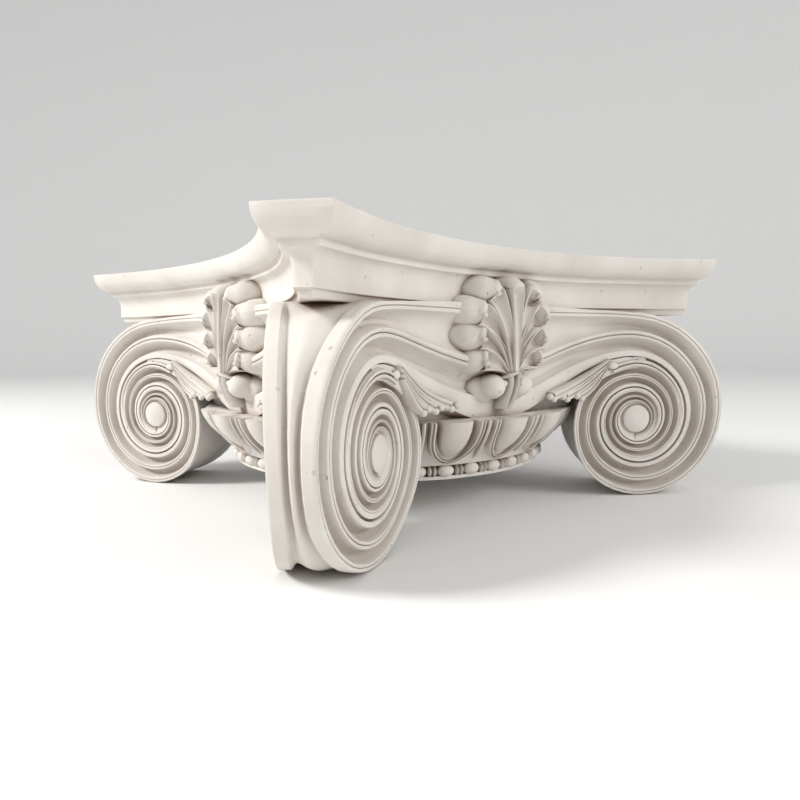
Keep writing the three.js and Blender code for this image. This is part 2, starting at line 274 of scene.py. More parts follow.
bend_tangent = BEND_RADIUS * math.tan(FACE_BEND / 2)
bend_start = EYE_ACROSS - (EYE_FRONT - FACE_FRONT) / math.tan(FACE_BEND) - bend_tangent
bend_length = BEND_RADIUS * FACE_BEND
bend_end_x = bend_start + bend_tangent * (1 + math.cos(FACE_BEND))
EYE_S = bend_start + bend_length + (EYE_ACROSS - bend_end_x) / math.cos(FACE_BEND)


def face_place(s, z, out):
    """A point on the right half of the front face: s along it from its middle, z up, out in front."""
    angle = min(max((s - bend_start) / BEND_RADIUS, 0), FACE_BEND)
    beyond = max(s - bend_start - bend_length, 0)
    x = min(s, bend_start) + BEND_RADIUS * math.sin(angle) + beyond * math.cos(angle)
    y = -FACE_FRONT - BEND_RADIUS * (1 - math.cos(angle)) - beyond * math.sin(angle)
    return Vector((x - out * math.sin(angle), y - out * math.cos(angle), z))


def round_the_eye(radius):
    """The last coils crowd against the eye without reaching it."""
    beyond = (radius - EYE_RADIUS - EYE_MARGIN) / COIL_CROWDING
    if beyond > 20:
        return radius
    return EYE_RADIUS + EYE_MARGIN + COIL_CROWDING * math.log1p(math.exp(beyond))


def volute_place(turns, radius, out):
    angle = 2 * math.pi * turns
    return face_place(EYE_S + radius * math.sin(angle), EYE_HEIGHT + radius * math.cos(angle), out)


def outline_radius(turns):
    if turns <= 1:
        return RIM_RADIUS * OUTLINE_PITCH**turns
    return RIM_RADIUS * OUTLINE_PITCH * PITCH ** (turns - 1)


def coil_sink(turns):
    """How far a coil lies behind the plane of the outer rim, so many turns in."""
    return COIL_SINK * smooth((turns - 0.1) / 0.3)


def sheet_point(column, row):
    v, depth, middle, middle_depth = ROWS[row]
    if column < CHANNEL_STEPS:
        part = column / CHANNEL_STEPS
        s = EYE_S * part
        end = EYE_HEIGHT + RIM_RADIUS * PITCH**v
        span = EYE_S - CHANNEL_FLAT
        t = min(max((s - CHANNEL_FLAT) / span, 0), 1)
        z = blend(middle, end, smooth(t)) + SPIRAL_SLOPE * span * (t**3 - t**2)
        if row == 0:
            level = smooth((s - RIM_LEVELS_FROM) / (EYE_S - RIM_LEVELS_FROM))
            z = blend(CHANNEL_TOP, EYE_HEIGHT + RIM_RADIUS, level)
        here = depth + coil_sink(v)
        return face_place(s, z, -blend(middle_depth, here, smooth(part)))
    turns = (column - CHANNEL_STEPS) / TURN_STEPS
    if row in (0, LAST_ROW):
        return rim_point(turns + (1 if row else 0))
    coil = turns + v
    radius = RIM_RADIUS * PITCH**coil
    if v < OUTER_SHARE:
        radius *= blend(1, (OUTLINE_PITCH / PITCH) ** min(turns, 1), 1 - v / OUTER_SHARE)
    if v > INNER_SHARE:
        radius *= blend(1, OUTLINE_PITCH / PITCH, (v - INNER_SHARE) / (1 - INNER_SHARE))
    relief = RELIEF_FADE**turns * (1 - 0.85 * smooth((turns - TURNS + FADE_OUT) / FADE_OUT))
    return volute_place(turns, round_the_eye(radius), -depth * relief - coil_sink(coil))


def rim_point(turns):
    first = ROWS[0][1] * (1 - smooth((turns - 0.85) / 0.15))
    return volute_place(turns, round_the_eye(outline_radius(turns)), -first - coil_sink(turns))


def mirror_across_diagonal(point):
    return Vector((-point.y, -point.x, point.z))


def scroll_faces():
    face = []
    grid = []
    for column in range(LAST_COLUMN + 1):
        grid.append([sheet_point(column, row) for row in range(LAST_ROW + 1)])
    for column in range(LAST_COLUMN):
        rows = CHANNEL_LAST_ROW if column < CHANNEL_STEPS else LAST_ROW
        near, far = grid[column], grid[column + 1]
        for row in range(rows):
            face.append([near[row + 1], far[row + 1], far[row], near[row]])

    # The eye is a low button inside the last coil.
    last_columns = range(LAST_COLUMN - TURN_STEPS, LAST_COLUMN + 1)
    last_turn = [(column - CHANNEL_STEPS) / TURN_STEPS for column in last_columns]
    loops = [[grid[column][LAST_ROW] for column in last_columns]]
    for radius, out in EYE_RINGS:
        loops.append([volute_place(turns, radius, out - COIL_SINK) for turns in last_turn])
    for outer, inner in zip(loops, loops[1:]):
        for i in range(TURN_STEPS):
            face.append([inner[i], inner[i + 1], outer[i + 1], outer[i]])
    crown = volute_place(0, 0, EYE_CROWN - COIL_SINK)
    for i in range(TURN_STEPS):
        face.append([crown, loops[-1][i + 1], loops[-1][i]])
    seam = loops[1][0]
    for row in range(LAST_ROW, 0, -1):
        face.append([seam, grid[LAST_COLUMN][row - 1], grid[LAST_COLUMN][row]])

    # The open border runs along the top, round the volute and back under the channel.
    border = []
    for column in range(CHANNEL_STEPS + TURN_STEPS + 1):
        turns = max((column - CHANNEL_STEPS) / TURN_STEPS, 0)
        swell = smooth(turns / 0.04) * smooth((1 - turns) / 0.05)
        border.append((grid[column][0], 2 * math.pi * turns, swell))
    for row in range(LAST_ROW - 1, CHANNEL_LAST_ROW, -1):
        border.append((grid[CHANNEL_STEPS][row], 0, 0))
    for column in range(CHANNEL_STEPS, -1, -1):
        border.append((grid[column][CHANNEL_LAST_ROW], 0, 0))

    ribs = [edge_rib(*place) for place in border]
    edge = []
    for rib, following in zip(ribs, ribs[1:]):
        for k in range(len(rib) - 1):
            edge.append([rib[k], following[k], following[k + 1], rib[k + 1]])
    closings = []
    for rib in (ribs[0], ribs[-1]):
        middle = Vector((0, 0, rib[0].z))
        for k in range(len(rib) - 1):
            closings.append([middle, rib[k], rib[k + 1]])
    corner = face + [[mirror_across_diagonal(p) for p in points] for points in face] + edge + closings
    whole = []
    for _ in range(4):
        whole.extend(corner)
        corner = [[quarter_round(p) for p in points] for points in corner]
    return whole


# From each face inward: place as a part of the band, and depth as a part of the groove.
EDGE_PROFILE = [
    (0, 0),
    (0.12, 0),
    (0.7, -0.06),
    (0.8, -0.3),
    (0.9, -0.82),
    (1.04, -1),
]
ROLL_STEPS = 6
ROLL_ROUNDING = 1.4
WIDEST_BAND = 0.36


def edge_rib(point, angle, swell):
    """One rib of the edge, straight across the corner: band, groove, roll, groove, band."""
    far = mirror_across_diagonal(point)
    width = (point - far).length
    band = min(EDGE_BAND, WIDEST_BAND * width)
    inward = Vector((math.sin(angle) / math.sqrt(2), -math.sin(angle) / math.sqrt(2), math.cos(angle)))
    half = [(place * band / width, depth * EDGE_GROOVE) for place, depth in EDGE_PROFILE]
    groove_end = half[-1][0]
    for step in range(1, ROLL_STEPS):
        t = step / ROLL_STEPS
        rise = math.sin(math.pi / 2 * t) ** ROLL_ROUNDING
        half.append((blend(groove_end, 0.5, t), -blend(EDGE_GROOVE, EDGE_ROLL, rise)))
    whole = half + [(0.5, -EDGE_ROLL)] + [(1 - place, out) for place, out in reversed(half)]
    return [point.lerp(far, place) + inward * out * swell for place, out in whole]


scrolls = mesh_piece("scrolls", scroll_faces())

# Core: the plain wall behind the channels, under the slab. It only fills the heart of the casting and
# shows as the back of the hollows beside the leaves.
CORE_HALF_SIDE = 95
CORE_WALL = 134
CORE_BOTTOM = 76
CORE_TOP = 165

deselect_all()
bpy.ops.mesh.primitive_circle_add(
    vertices=8, radius=CORE_WALL * MM, fill_type="NGON", location=(0, 0, CORE_BOTTOM * MM)
)
bpy.ops.object.transform_apply(location=True, rotation=False, scale=False)
core = named("core")
core_side = [(-CORE_HALF_SIDE, -CORE_WALL), (CORE_HALF_SIDE, -CORE_WALL)]
core_plan = []
for _ in range(4):
    core_plan.extend(core_side)
    core_side = [(-y, x) for x, y in core_side]
for vertex, (x, y) in zip(core.data.vertices, core_plan):
    vertex.co = (x * MM, y * MM, CORE_BOTTOM * MM)
bpy.ops.object.mode_set(mode="EDIT")
bpy.ops.mesh.select_all(action="SELECT")
bpy.ops.mesh.extrude_region_move(TRANSFORM_OT_translate={"value": (0, 0, (CORE_TOP - CORE_BOTTOM) * MM)})
bpy.ops.mesh.select_all(action="SELECT")
bpy.ops.mesh.normals_make_consistent(inside=False)
bpy.ops.object.mode_set(mode="OBJECT")


def cast_on(piece, addition):
    """Joins an addition to a piece, as if both were poured together."""
    union = piece.modifiers.new("union", "BOOLEAN")
    union.operation = "UNION"
    union.solver = "MANIFOLD"
    union.object = addition
    bpy.context.view_layer.objects.active = piece
    bpy.ops.object.modifier_apply(modifier=union.name)
    bpy.data.objects.remove(addition)


# Neck: the plain disc that sits on the shaft, the bed of the beads and the quarter-round behind the
# eggs, in the same plaster. It was turned as one profile round the axis.
NECK_STEPS = 160
NECK_PROFILE = [
    (138.7, 30.9),
    (138.7, 33.4),
    (135, 33.8),
    (134.4, 35.2),
    (134.4, 39),
    (135.5, 40.8),
    (140, 41.6),
    (141, 43),
    (144, 49),
    (148, 56),
    (150.5, 64),
    (152, 72),
    (152, 75),
]

deselect_all()
foot_radius, foot_height = NECK_PROFILE[0]
bpy.ops.mesh.primitive_circle_add(
    vertices=NECK_STEPS, radius=foot_radius * MM, fill_type="NGON", location=(0, 0, foot_height * MM)
)
bpy.ops.object.transform_apply(location=True, rotation=False, scale=False)
neck = named("neck")
bpy.ops.object.mode_set(mode="EDIT")
bpy.ops.mesh.select_all(action="SELECT")
for (radius, z), (next_radius, next_z) in zip(NECK_PROFILE, NECK_PROFILE[1:]):
    bpy.ops.mesh.extrude_region_move(TRANSFORM_OT_translate={"value": (0, 0, (next_z - z) * MM)})
    scale = next_radius / radius
    bpy.ops.transform.resize(value=(scale, scale, 1), center_override=(0, 0, 0))
bpy.ops.mesh.select_all(action="SELECT")
bpy.ops.mesh.normals_make_consistent(inside=False)
bpy.ops.object.mode_set(mode="OBJECT")

# Beads and reels: forty round beads with a pair of thin reels between each two, cast on the neck's bed.
# One bead and its reels are modelled, then copied round the axis.
BEAD_COUNT = 40
BEAD_CIRCLE = 137.6
BEAD_HEIGHT = 37.4
BEAD_HALF = (6.8, 5.6, 4.9)
REEL_PLACES = (-9, 9)
REEL_HALF = (1.5, 5, 4.5)


def ball(name, place, half, segments, rings, turn=0):
    """A sphere pulled to three half sizes, its poles along x, turned about z and set in its place."""
    deselect_all()
    bpy.ops.mesh.primitive_uv_sphere_add(segments=segments, ring_count=rings, radius=MM)
    shaped = named(name)
    shaped.data.transform(Matrix.Rotation(math.pi / 2, 4, "Y"))
    shaped.data.transform(Matrix.Diagonal((*half, 1)))
    shaped.data.transform(Matrix.Rotation(turn, 4, "Z"))
    shaped.data.transform(Matrix.Translation(Vector(place) * MM))
    return shaped


def joined(pieces):
    deselect_all()
    for piece in pieces:
        piece.select_set(True)
    bpy.context.view_layer.objects.active = pieces[0]
    bpy.ops.object.join()
    return pieces[0]


def copied_round(piece, count, name):
    """Copies of a piece round the axis, each with its own mesh, joined into one."""
    copies = [piece]
    for place in range(1, count):
        copy = piece.copy()
        copy.data = piece.data.copy()
        copy.data.transform(Matrix.Rotation(2 * math.pi * place / count, 4, "Z"))
        bpy.context.collection.objects.link(copy)
        copies.append(copy)
    whole = joined(copies)
    whole.name = name
    whole.data.name = name
    return whole


bead = ball("bead", (0, -BEAD_CIRCLE, BEAD_HEIGHT), BEAD_HALF, 12, 7)
reels = []
for x in REEL_PLACES:
    turn = x / BEAD_CIRCLE
    place = (BEAD_CIRCLE * math.sin(turn), -BEAD_CIRCLE * math.cos(turn), BEAD_HEIGHT)
    reels.append(ball("reel", place, REEL_HALF, 10, 4, turn))
beads = copied_round(joined([bead, *reels]), BEAD_COUNT, "beads")

# Eggs and darts: the echinus, twenty smooth eggs in deep double-edged shells with a dart between each
# two. One egg is laid out as a sheet on the quarter-round, copied round the axis, and closed behind.
EGG_COUNT = 20
ECHINUS_FOOT = 42.6
ECHINUS_TOP = 76.6
ECHINUS_PROFILE = [(0, 142), (6, 148.5), (13, 154.6), (20, 159.6), (27, 163.6), (34, 166)]
# Each line of the egg is a U: half width, depth of its foot below the top, and how far it lies behind.
EGG_LINES = [
    (0.5, 6, -3),
    (4.5, 14.5, -2.6),
    (8.4, 22, -1),
    (11, 26.4, 1.8),
    (12.4, 28.6, 5),
    (12.9, 29.4, 9.5),
    (13.9, 30, 12),
    (16, 30.7, 11),
    (17, 31.2, 4.5),
    (17.4, 31.6, 0.3),
    (18.5, 32.1, -0.1),
    (19.1, 32.3, 1.9),
    (19.7, 32.6, 1.9),
    (20.3, 32.9, -0.1),
    (21.2, 33.2, 0.3),
    (21.9, 33.5, 6.8),
]
DART_HALF = 1.7
DART_DEPTH = 0.8
U_STEPS = 20


def echinus_radius(z):
    height = z - ECHINUS_FOOT
    for (low, inner), (high, outer) in zip(ECHINUS_PROFILE, ECHINUS_PROFILE[1:]):
        if height <= high:
            return blend(inner, outer, (height - low) / (high - low))
    return ECHINUS_PROFILE[-1][1]


def on_echinus(x, z, depth):
    """A point of the echinus: x round it from the middle of an egg, z up, and depth behind."""
    angle = x / ECHINUS_PROFILE[-1][1]
    radius = echinus_radius(z) - depth
    return Vector((radius * math.sin(angle), -radius * math.cos(angle), z))


def egg_line(half, foot, depth):
    points = []
    straight = 0.34 * foot
    for step in range(U_STEPS + 1):
        t = step / U_STEPS
        if t < 0.2:
            points.append((-half, ECHINUS_TOP - straight * t / 0.2))
        elif t > 0.8:
            points.append((half, ECHINUS_TOP - straight * (1 - t) / 0.2))
        else:
            angle = math.pi * (t - 0.2) / 0.6
            drop = straight + (foot - straight) * math.sin(angle)
            points.append((-half * math.cos(angle), ECHINUS_TOP - drop))
    return [on_echinus(x, z, depth) for x, z in points]


def dart_line(x, depth, foot_depth):
    """The outline between two shells, from the top down, along the foot and up again."""
    points = []
    for step in range(U_STEPS + 1):
        t = step / U_STEPS
        if t < 0.35:
            points.append(on_echinus(-x, blend(ECHINUS_TOP, ECHINUS_FOOT, t / 0.35), depth))
        elif t > 0.65:
            points.append(on_echinus(x, blend(ECHINUS_TOP, ECHINUS_FOOT, (1 - t) / 0.35), depth))
        else:
            points.append(on_echinus(blend(-x, x, (t - 0.35) / 0.3), ECHINUS_FOOT, foot_depth))
    return points


module_half = math.pi * ECHINUS_PROFILE[-1][1] / EGG_COUNT
egg_grid = [egg_line(*line) for line in EGG_LINES]
egg_grid.append(dart_line(module_half - DART_HALF, 6.4, 4))
egg_grid.append(dart_line(module_half - DART_HALF * 0.8, 1.8, 4.4))
egg_grid.append(dart_line(module_half, DART_DEPTH, 5))
egg_faces = []
for line, following in zip(egg_grid, egg_grid[1:]):
    for step in range(U_STEPS):
        egg_faces.append([line[step], following[step], following[step + 1], line[step + 1]])
for step in range(U_STEPS // 2):
    first = egg_grid[0]
    egg_faces.append([first[step], first[step + 1], first[U_STEPS - step - 1], first[U_STEPS - step]])

echinus_faces = []
for place in range(EGG_COUNT):
    turned = Matrix.Rotation(2 * math.pi * place / EGG_COUNT, 3, "Z")
    echinus_faces.extend([[turned @ point for point in face] for face in egg_faces])
    top_row = [line[0] for line in reversed(egg_grid)] + [line[-1] for line in egg_grid]
    for point, following in zip(top_row, top_row[1:]):
        echinus_faces.append([Vector((0, 0, ECHINUS_TOP)), turned @ point, turned @ following])
    foot_row = [point for point in egg_grid[-1] if abs(point.z - ECHINUS_FOOT) < WELD]
    for point, following in zip(foot_row, foot_row[1:]):
        echinus_faces.append([Vector((0, 0, ECHINUS_FOOT)), turned @ following, turned @ point])
echinus = mesh_piece("echinus", echinus_faces)

# Palmettes: a leaf on the middle of each face, with fluted lobes that spring from a tie, curl forward
# at their tips and swell back into the wall. Each lobe is laid out point by point for its place, and the
# leaf is copied round.
LEAF_TIE = 108
LEAF_BACK = 130
# Each lobe: tip x, z and out, the bend of its path, root x and z, half width and flute depth.
LEAF_LOBES = [
    (0, 173, 167, 0, 145, 0, 181, 6.6, 5.4),
    (22.5, 168.5, 165.5, 6, 149, 37, 172, 8.2, 7.6),
    (34, 153.5, 164, 9, 141, 50, 156, 8.8, 8.4),
    (33.5, 136.5, 163, 10, 130, 50, 137, 8.6, 8.2),
    (30, 120, 162, 10, 117, 43, 116, 7.6, 7),
]
# Stations from the tie over the tip to the wall: part of the way, rise in front, width and flute share.
LOBE_STATIONS = [
    (0.02, -4, 0.3, 0),
    (0.12, -3.4, 0.36, 0.2),
    (0.26, -3, 0.45, 0.34),
    (0.4, -2.6, 0.56, 0.45),
    (0.54, -2.4, 0.68, 0.58),
    (0.66, -2.4, 0.8, 0.75),
    (0.76, -2.4, 0.9, 0.92),
    (0.84, -2.2, 0.97, 1),
    (0.9, -1.6, 1, 0.95),
    (0.945, -0.6, 0.98, 0.35),
    (0.975, 0, 0.9, 0),
    (1.01, -0.4, 0.86, 0),
    (1.04, -1.8, 0.88, 0),
    (1.06, -4, 0.96, 0),
]
FLANK_STEPS = 5
# Across a lobe: place as a part of the half width, drop as a part of the side, and share of the flute.
LOBE_ACROSS = [
    (-1.06, 1, 0),
    (-1.02, 0.55, 0),
    (-0.97, 0.22, 0),
    (-0.88, 0.05, 0),
    (-0.78, 0, 0.06),
    (-0.7, 0, 0.42),
    (-0.58, 0, 0.72),
    (-0.36, 0, 0.95),
    (0, 0, 1.06),
    (0.36, 0, 0.95),
    (0.58, 0, 0.72),
    (0.7, 0, 0.42),
    (0.78, 0, 0.06),
    (0.88, 0.05, 0),
    (0.97, 0.22, 0),
    (1.02, 0.55, 0),
    (1.06, 1, 0),
]
LOBE_EDGE = 1.06
LOBE_SIDE = 9
ROUND_FROM = 7
ROUND_STATIONS = 5
CURL_FROM = 0.95
FLANK_LEAN = (0.6, 1.5)
FLANK_SWELL = (0.98, 1.3)
FLANK_BACK = 138
KNOB_HALF = (2.3, 2.6, 2.1)


def leaf_lobe(tip_x, tip_z, tip_out, bend_x, bend_z, root_x, root_z, half, flute):
    """One lobe: front, curled tip and the swelling flank that runs back to the wall, closed behind."""
    tie = Vector((tip_x * 0.04, 0, LEAF_TIE))
    bend = Vector((bend_x, 0, bend_z))
    tip = Vector((tip_x, 0, tip_z))
    root = Vector((root_x, 0, root_z))

    def path(t):
        if t > 1:
            onward = (root - tip).normalized()
            return tip + onward * (t - 1) * (tip - tie).length, onward
        place = tie * (1 - t) ** 2 + bend * 2 * t * (1 - t) + tip * t**2
        along = (bend - tie) * (1 - t) + (tip - bend) * t
        return place, along.normalized()

    stations = []
    for part, rise, width, share in LOBE_STATIONS:
        place, along = path(part)
        front = tip_out + rise
        facing = Vector((0, -1, 0))
        if part > CURL_FROM:
            tilt = min((part - CURL_FROM) / 0.1, 1) * math.pi / 2.4
            facing = Vector((0, -math.cos(tilt), 0)) + along * math.sin(tilt)
        stations.append((Vector((place.x, -front, place.z)), along, facing, width * half, share * flute))
    begin, begin_along = stations[-1][0], stations[-1][1]
    reach = (root - Vector((begin.x, 0, begin.z))).length
    for step in range(1, FLANK_STEPS + 1):
        angle = math.pi / 2 * step / FLANK_STEPS
        outward = math.sin(angle)
        back = 1 - math.cos(angle)
        place = begin + begin_along * reach * outward
        place.y = blend(begin.y, -FLANK_BACK, back)
        lean = blend(*FLANK_LEAN, outward)
        facing = begin_along * math.sin(lean) + Vector((0, -math.cos(lean), 0))
        stations.append((place, begin_along, facing, half * blend(*FLANK_SWELL, outward), 0))

    rows = []
    for number, (place, along, facing, wide, depth) in enumerate(stations):
        sideways = along.cross(Vector((0, 1, 0)))
        rounding = smooth((number - ROUND_FROM) / ROUND_STATIONS)
        row = []
        for across, drop, share in LOBE_ACROSS:
            swing = across / LOBE_EDGE * math.pi / 2
            wide_across = blend(across, LOBE_EDGE * math.sin(swing), rounding)
            fall = blend(drop * LOBE_SIDE, (1 - math.cos(swing)) * wide * 1.1, rounding)
            row.append(place + sideways * wide_across * wide - facing * (fall + share * depth))
        rows.append(row)
    faces = []
    for row, following in zip(rows, rows[1:]):
        for k in range(len(row) - 1):
            faces.append([row[k], row[k + 1], following[k + 1], following[k]])
    middles = [row[0].lerp(row[-1], 0.5) for row in rows]
    spine = [Vector((middle.x, -LEAF_BACK, middle.z)) for middle in middles]
    for k, row in enumerate(rows[:-1]):
        following = rows[k + 1]
        faces.append([row[0], following[0], spine[k + 1], spine[k]])
        faces.append([following[-1], row[-1], spine[k], spine[k + 1]])
    for row, inner in ((rows[0], spine[0]), (rows[-1], spine[-1])):
        for k in range(len(row) - 1):
            faces.append([inner, row[k], row[k + 1]])
    return faces


def mirrored(faces):
    return [[Vector((-p.x, p.y, p.z)) for p in reversed(face)] for face in faces]


leaf = None
for number, lobe in enumerate(LEAF_LOBES):
    shapes = [leaf_lobe(*lobe)]
    if lobe[0]:
        shapes.append(mirrored(shapes[0]))
    for shape in shapes:
        piece = mesh_piece("lobe_%d" % number, shape)
        if leaf is None:
            leaf = piece
        else:
            cast_on(leaf, piece)
    for side in (-1, 1):
        if lobe[0]:
            tip_x, tip_z, tip_out = lobe[:3]
            knob_place = (side * (tip_x - 0.5), 1.2 - tip_out, tip_z - 2.6)
            cast_on(leaf, ball("knob", knob_place, KNOB_HALF, 10, 7))

# The tie holds the lobes, with a bulb curling out on either side below it and a stem down to the rim.
BULB_PLACE = (13.6, 99.5)
for side in (-1, 1):
    x, z = BULB_PLACE
    cast_on(leaf, ball("bulb", (side * x, -149.5, z), (10.4, 12.5, 9.6), 20, 12, side * 0.35))
    cast_on(leaf, ball("bulb_root", (side * (x + 4), -141, z - 3), (12, 10, 11), 14, 9, side * 0.5))
    cast_on(leaf, ball("bulb_curl", (side * (x - 4.5), -158.5, z + 2.2), (2.6, 2.6, 2.6), 10, 7))


BAR_SIDES = 12


def swept(name, places, halves):
    """A rounded bar through places, with a half width and half depth at each."""
    rings = []
    for place, (wide, deep) in zip(places, halves):
        ring = []
        for step in range(BAR_SIDES):
            angle = 2 * math.pi * step / BAR_SIDES
            ring.append(Vector(place) + Vector((wide * math.cos(angle), deep * math.sin(angle), 0)))
        rings.append(ring)
    return mesh_piece(name, lofted(rings))


STEM_PLACES = [(0.5, -146, 82), (1.6, -150, 88), (1.4, -153, 95), (1.6, -155, 102), (2.4, -156, 109)]
STEM_HALVES = [(4.4, 8), (2.4, 8), (1.8, 8), (2, 8), (2.6, 7)]
for side in (-1, 1):
    places = [(side * (x + 1.6), y, z) for x, y, z in STEM_PLACES]
    cast_on(leaf, swept("stem", places, STEM_HALVES))
TIE_PLACES = [(-9, -149, 104), (-8, -153, 105.5), (-4, -157.5, 107.5), (0, -160, 110)]
TIE_HALVES = [(2.6, 7), (3, 7), (3.2, 6.5), (2.4, 5)]
for side in (-1, 1):
    places = [(-side * x, y, z) for x, y, z in TIE_PLACES]
    cast_on(leaf, swept("tie", places, TIE_HALVES))
leaves = copied_round(leaf, 4, "leaves")

# Husks: beside each volute three long pods fan out from a small broken calyx and end in beaded tips on
# the top of the echinus, and two thin cords run from the calyx round the next coil. Cast with the face.
CALYX = (113, 113)
CALYX_HALF = 3.2
HUSK_TIPS = [(53, 87, 1.5), (68.5, 86.5, 1.8), (83, 86.5, 3)]
POD_HALF = 3.9
POD_STATIONS = [0, 0.12, 0.3, 0.5, 0.7, 0.85, 0.95]
POD_BACK = 12
POD_SAG = 3.5
# Across a pod: place as a part of the half width, and drop behind its front.
POD_ACROSS = [
    (-1.1, POD_BACK),
    (-1, 2.6),
    (-0.7, 0.5),
    (-0.35, 0),
    (0, 1.5),
    (0.35, 0),
    (0.7, 0.5),
    (1, 2.6),
    (1.1, POD_BACK),
]


def pod_faces(number):
    tip_s, tip_z, tip_out = HUSK_TIPS[number]
    start_s = CALYX[0] - 2 * number
    start_z = CALYX[1] - (number - 1) * CALYX_HALF
    along_s, along_z = tip_s - start_s, tip_z - start_z
    length = math.hypot(along_s, along_z)
    rows = []
    for part in POD_STATIONS:
        half = blend(1.8, POD_HALF, smooth(part * 1.1))
        front = blend(2.2, tip_out, part) + 1.3 * math.sin(math.pi * part)
        sag = -POD_SAG * math.sin(math.pi * part)
        row = []
        for across, drop in POD_ACROSS:
            s = start_s + along_s * part - along_z / length * across * half
            z = start_z + along_z * part + along_s / length * across * half + sag
            row.append(face_place(s, z, front - drop))
        rows.append(row)
    return lofted(rows)


# The bed behind the pods, as places along the face and up.
HUSK_BED = [
    (78, 96),
    (92, 105.5),
    (104, 112),
    (114, 116.5),
    (128, 119),
    (146, 119.2),
    (147, 111),
    (130, 109),
    (112, 103),
    (94, 93),
]
BED_FRONT = 3.6
BED_BACK = 16
# Two beads end each pod: place along and up from its tip, and radius.
TIP_BEADS = [(-2.6, 1.2, 2.9), (2.4, -1.2, 2.7)]


def husk_bed_faces():
    front = [face_place(s, z, -BED_FRONT) for s, z in HUSK_BED]
    back = [face_place(s, z, -BED_BACK) for s, z in HUSK_BED]
    return lofted([back, front])


husk = mesh_piece("husk_bed", husk_bed_faces())
for number in range(3):
    pod = mesh_piece("pod", pod_faces(number))
    cast_on(husk, pod)
for tip_s, tip_z, tip_out in HUSK_TIPS:
    for across, up, size in TIP_BEADS:
        place = face_place(tip_s + across, tip_z + up, tip_out - 1.2)
        cast_on(husk, ball("husk_bead", place, (size, size, size), 10, 6))
place = face_place(CALYX[0] + 3, CALYX[1] - 1, -1.5)
cast_on(husk, ball("calyx", place, (5, 2.2, 3), 12, 7, -FACE_BEND))


CORD_START = -0.08
CORD_STEPS = 16
CORD_SIDES = 8
CORD_WIDE = 1.1
CORD_DEEP = 1.5


def cord_faces(offset, end_turns):
    """A thin cord that leaves the calyx on the coil beyond it and dies into the coil."""
    rings = []
    for step in range(CORD_STEPS + 1):
        part = step / CORD_STEPS
        turns = blend(CORD_START, end_turns, part)
        radius = RIM_RADIUS * PITCH ** (1 + max(turns, 0)) + offset * (1 - 0.4 * part)
        rise = blend(0.7, -1.4, part**2)
        ring = []
        for side in range(CORD_SIDES):
            angle = 2 * math.pi * side / CORD_SIDES
            out = rise + CORD_DEEP * math.cos(angle) - COIL_SINK
            ring.append(volute_place(turns, radius + CORD_WIDE * math.sin(angle), out))
        rings.append(ring)
    return lofted(rings)


cast_on(husk, mesh_piece("cord", cord_faces(2.6, 0.27)))
cast_on(husk, mesh_piece("cord", cord_faces(-0.6, 0.2)))
twin = husk.copy()
twin.data = husk.data.copy()
bpy.context.collection.objects.link(twin)
twin.data.transform(Matrix.Diagonal((-1, 1, 1, 1)))
twin.data.flip_normals()
husks = copied_round(joined([husk, twin]), 4, "husks")

# The casting: all of it was poured in one mould, so every part above is joined into a single solid, then
# given the slight waviness of hand-made plaster.
WAVE_SIZE = 45
WAVE = 0.35
GRAIN_SIZE = 7
GRAIN = 0.1
WAVE_SEED = 7
STILL_BELOW = 4
SHARP_FROM = 38

capital = scrolls
for part in (abacus, core, neck, echinus, beads, leaves, husks):
    cast_on(capital, part)
capital.name = "plaster_capital"
capital.data.name = "plaster_capital"
noise.seed_set(WAVE_SEED)
for vertex in capital.data.vertices:
    place = vertex.co / MM
    wave = noise.noise_vector(place / WAVE_SIZE) * WAVE
    grain = noise.noise_vector(place / GRAIN_SIZE) * GRAIN
    settle = smooth(place.z / STILL_BELOW)
    vertex.co += (wave + grain) * settle * MM
    vertex.co.z = min(vertex.co.z, HEIGHT * MM)
deselect_all()
capital.select_set(True)
bpy.context.view_layer.objects.active = capital
bpy.ops.object.shade_smooth_by_angle(angle=math.radians(SHARP_FROM))

# Plaster: matt, warm off-white and a little uneven, with painted shade that turns the colour darker and
# browner in the hollows. Grit, streaks and pits are too fine for the mesh and are bump only.
PLASTER_LIGHT = (0.74, 0.71, 0.67, 1)
PLASTER_DULL = (0.66, 0.62, 0.57, 1)
# Warm brown painted into the hollows as shade.
HOLLOW_PAINTED_SHADE = (0.3, 0.215, 0.16, 1)
PLASTER_ROUGHNESS = 0.82


def link(tree, output, socket):
    tree.links.new(output, socket)


plaster = bpy.data.materials.new("cast_plaster")
plaster.use_nodes = True
tree = plaster.node_tree
surface = tree.nodes["Principled BSDF"]
surface.inputs["Roughness"].default_value = PLASTER_ROUGHNESS
surface.inputs["Specular IOR Level"].default_value = 0.25
where = tree.nodes.new("ShaderNodeTexCoord")

mottle = tree.nodes.new("ShaderNodeTexNoise")
mottle.inputs["Scale"].default_value = 28
mottle.inputs["Detail"].default_value = 5
link(tree, where.outputs["Object"], mottle.inputs["Vector"])
mottle_range = tree.nodes.new("ShaderNodeMapRange")
mottle_range.inputs["From Min"].default_value = 0.35
mottle_range.inputs["From Max"].default_value = 0.7
link(tree, mottle.outputs["Fac"], mottle_range.inputs["Value"])
body_colour = tree.nodes.new("ShaderNodeMix")
body_colour.data_type = "RGBA"
body_colour.inputs[6].default_value = PLASTER_LIGHT
body_colour.inputs[7].default_value = PLASTER_DULL
link(tree, mottle_range.outputs["Result"], body_colour.inputs[0])
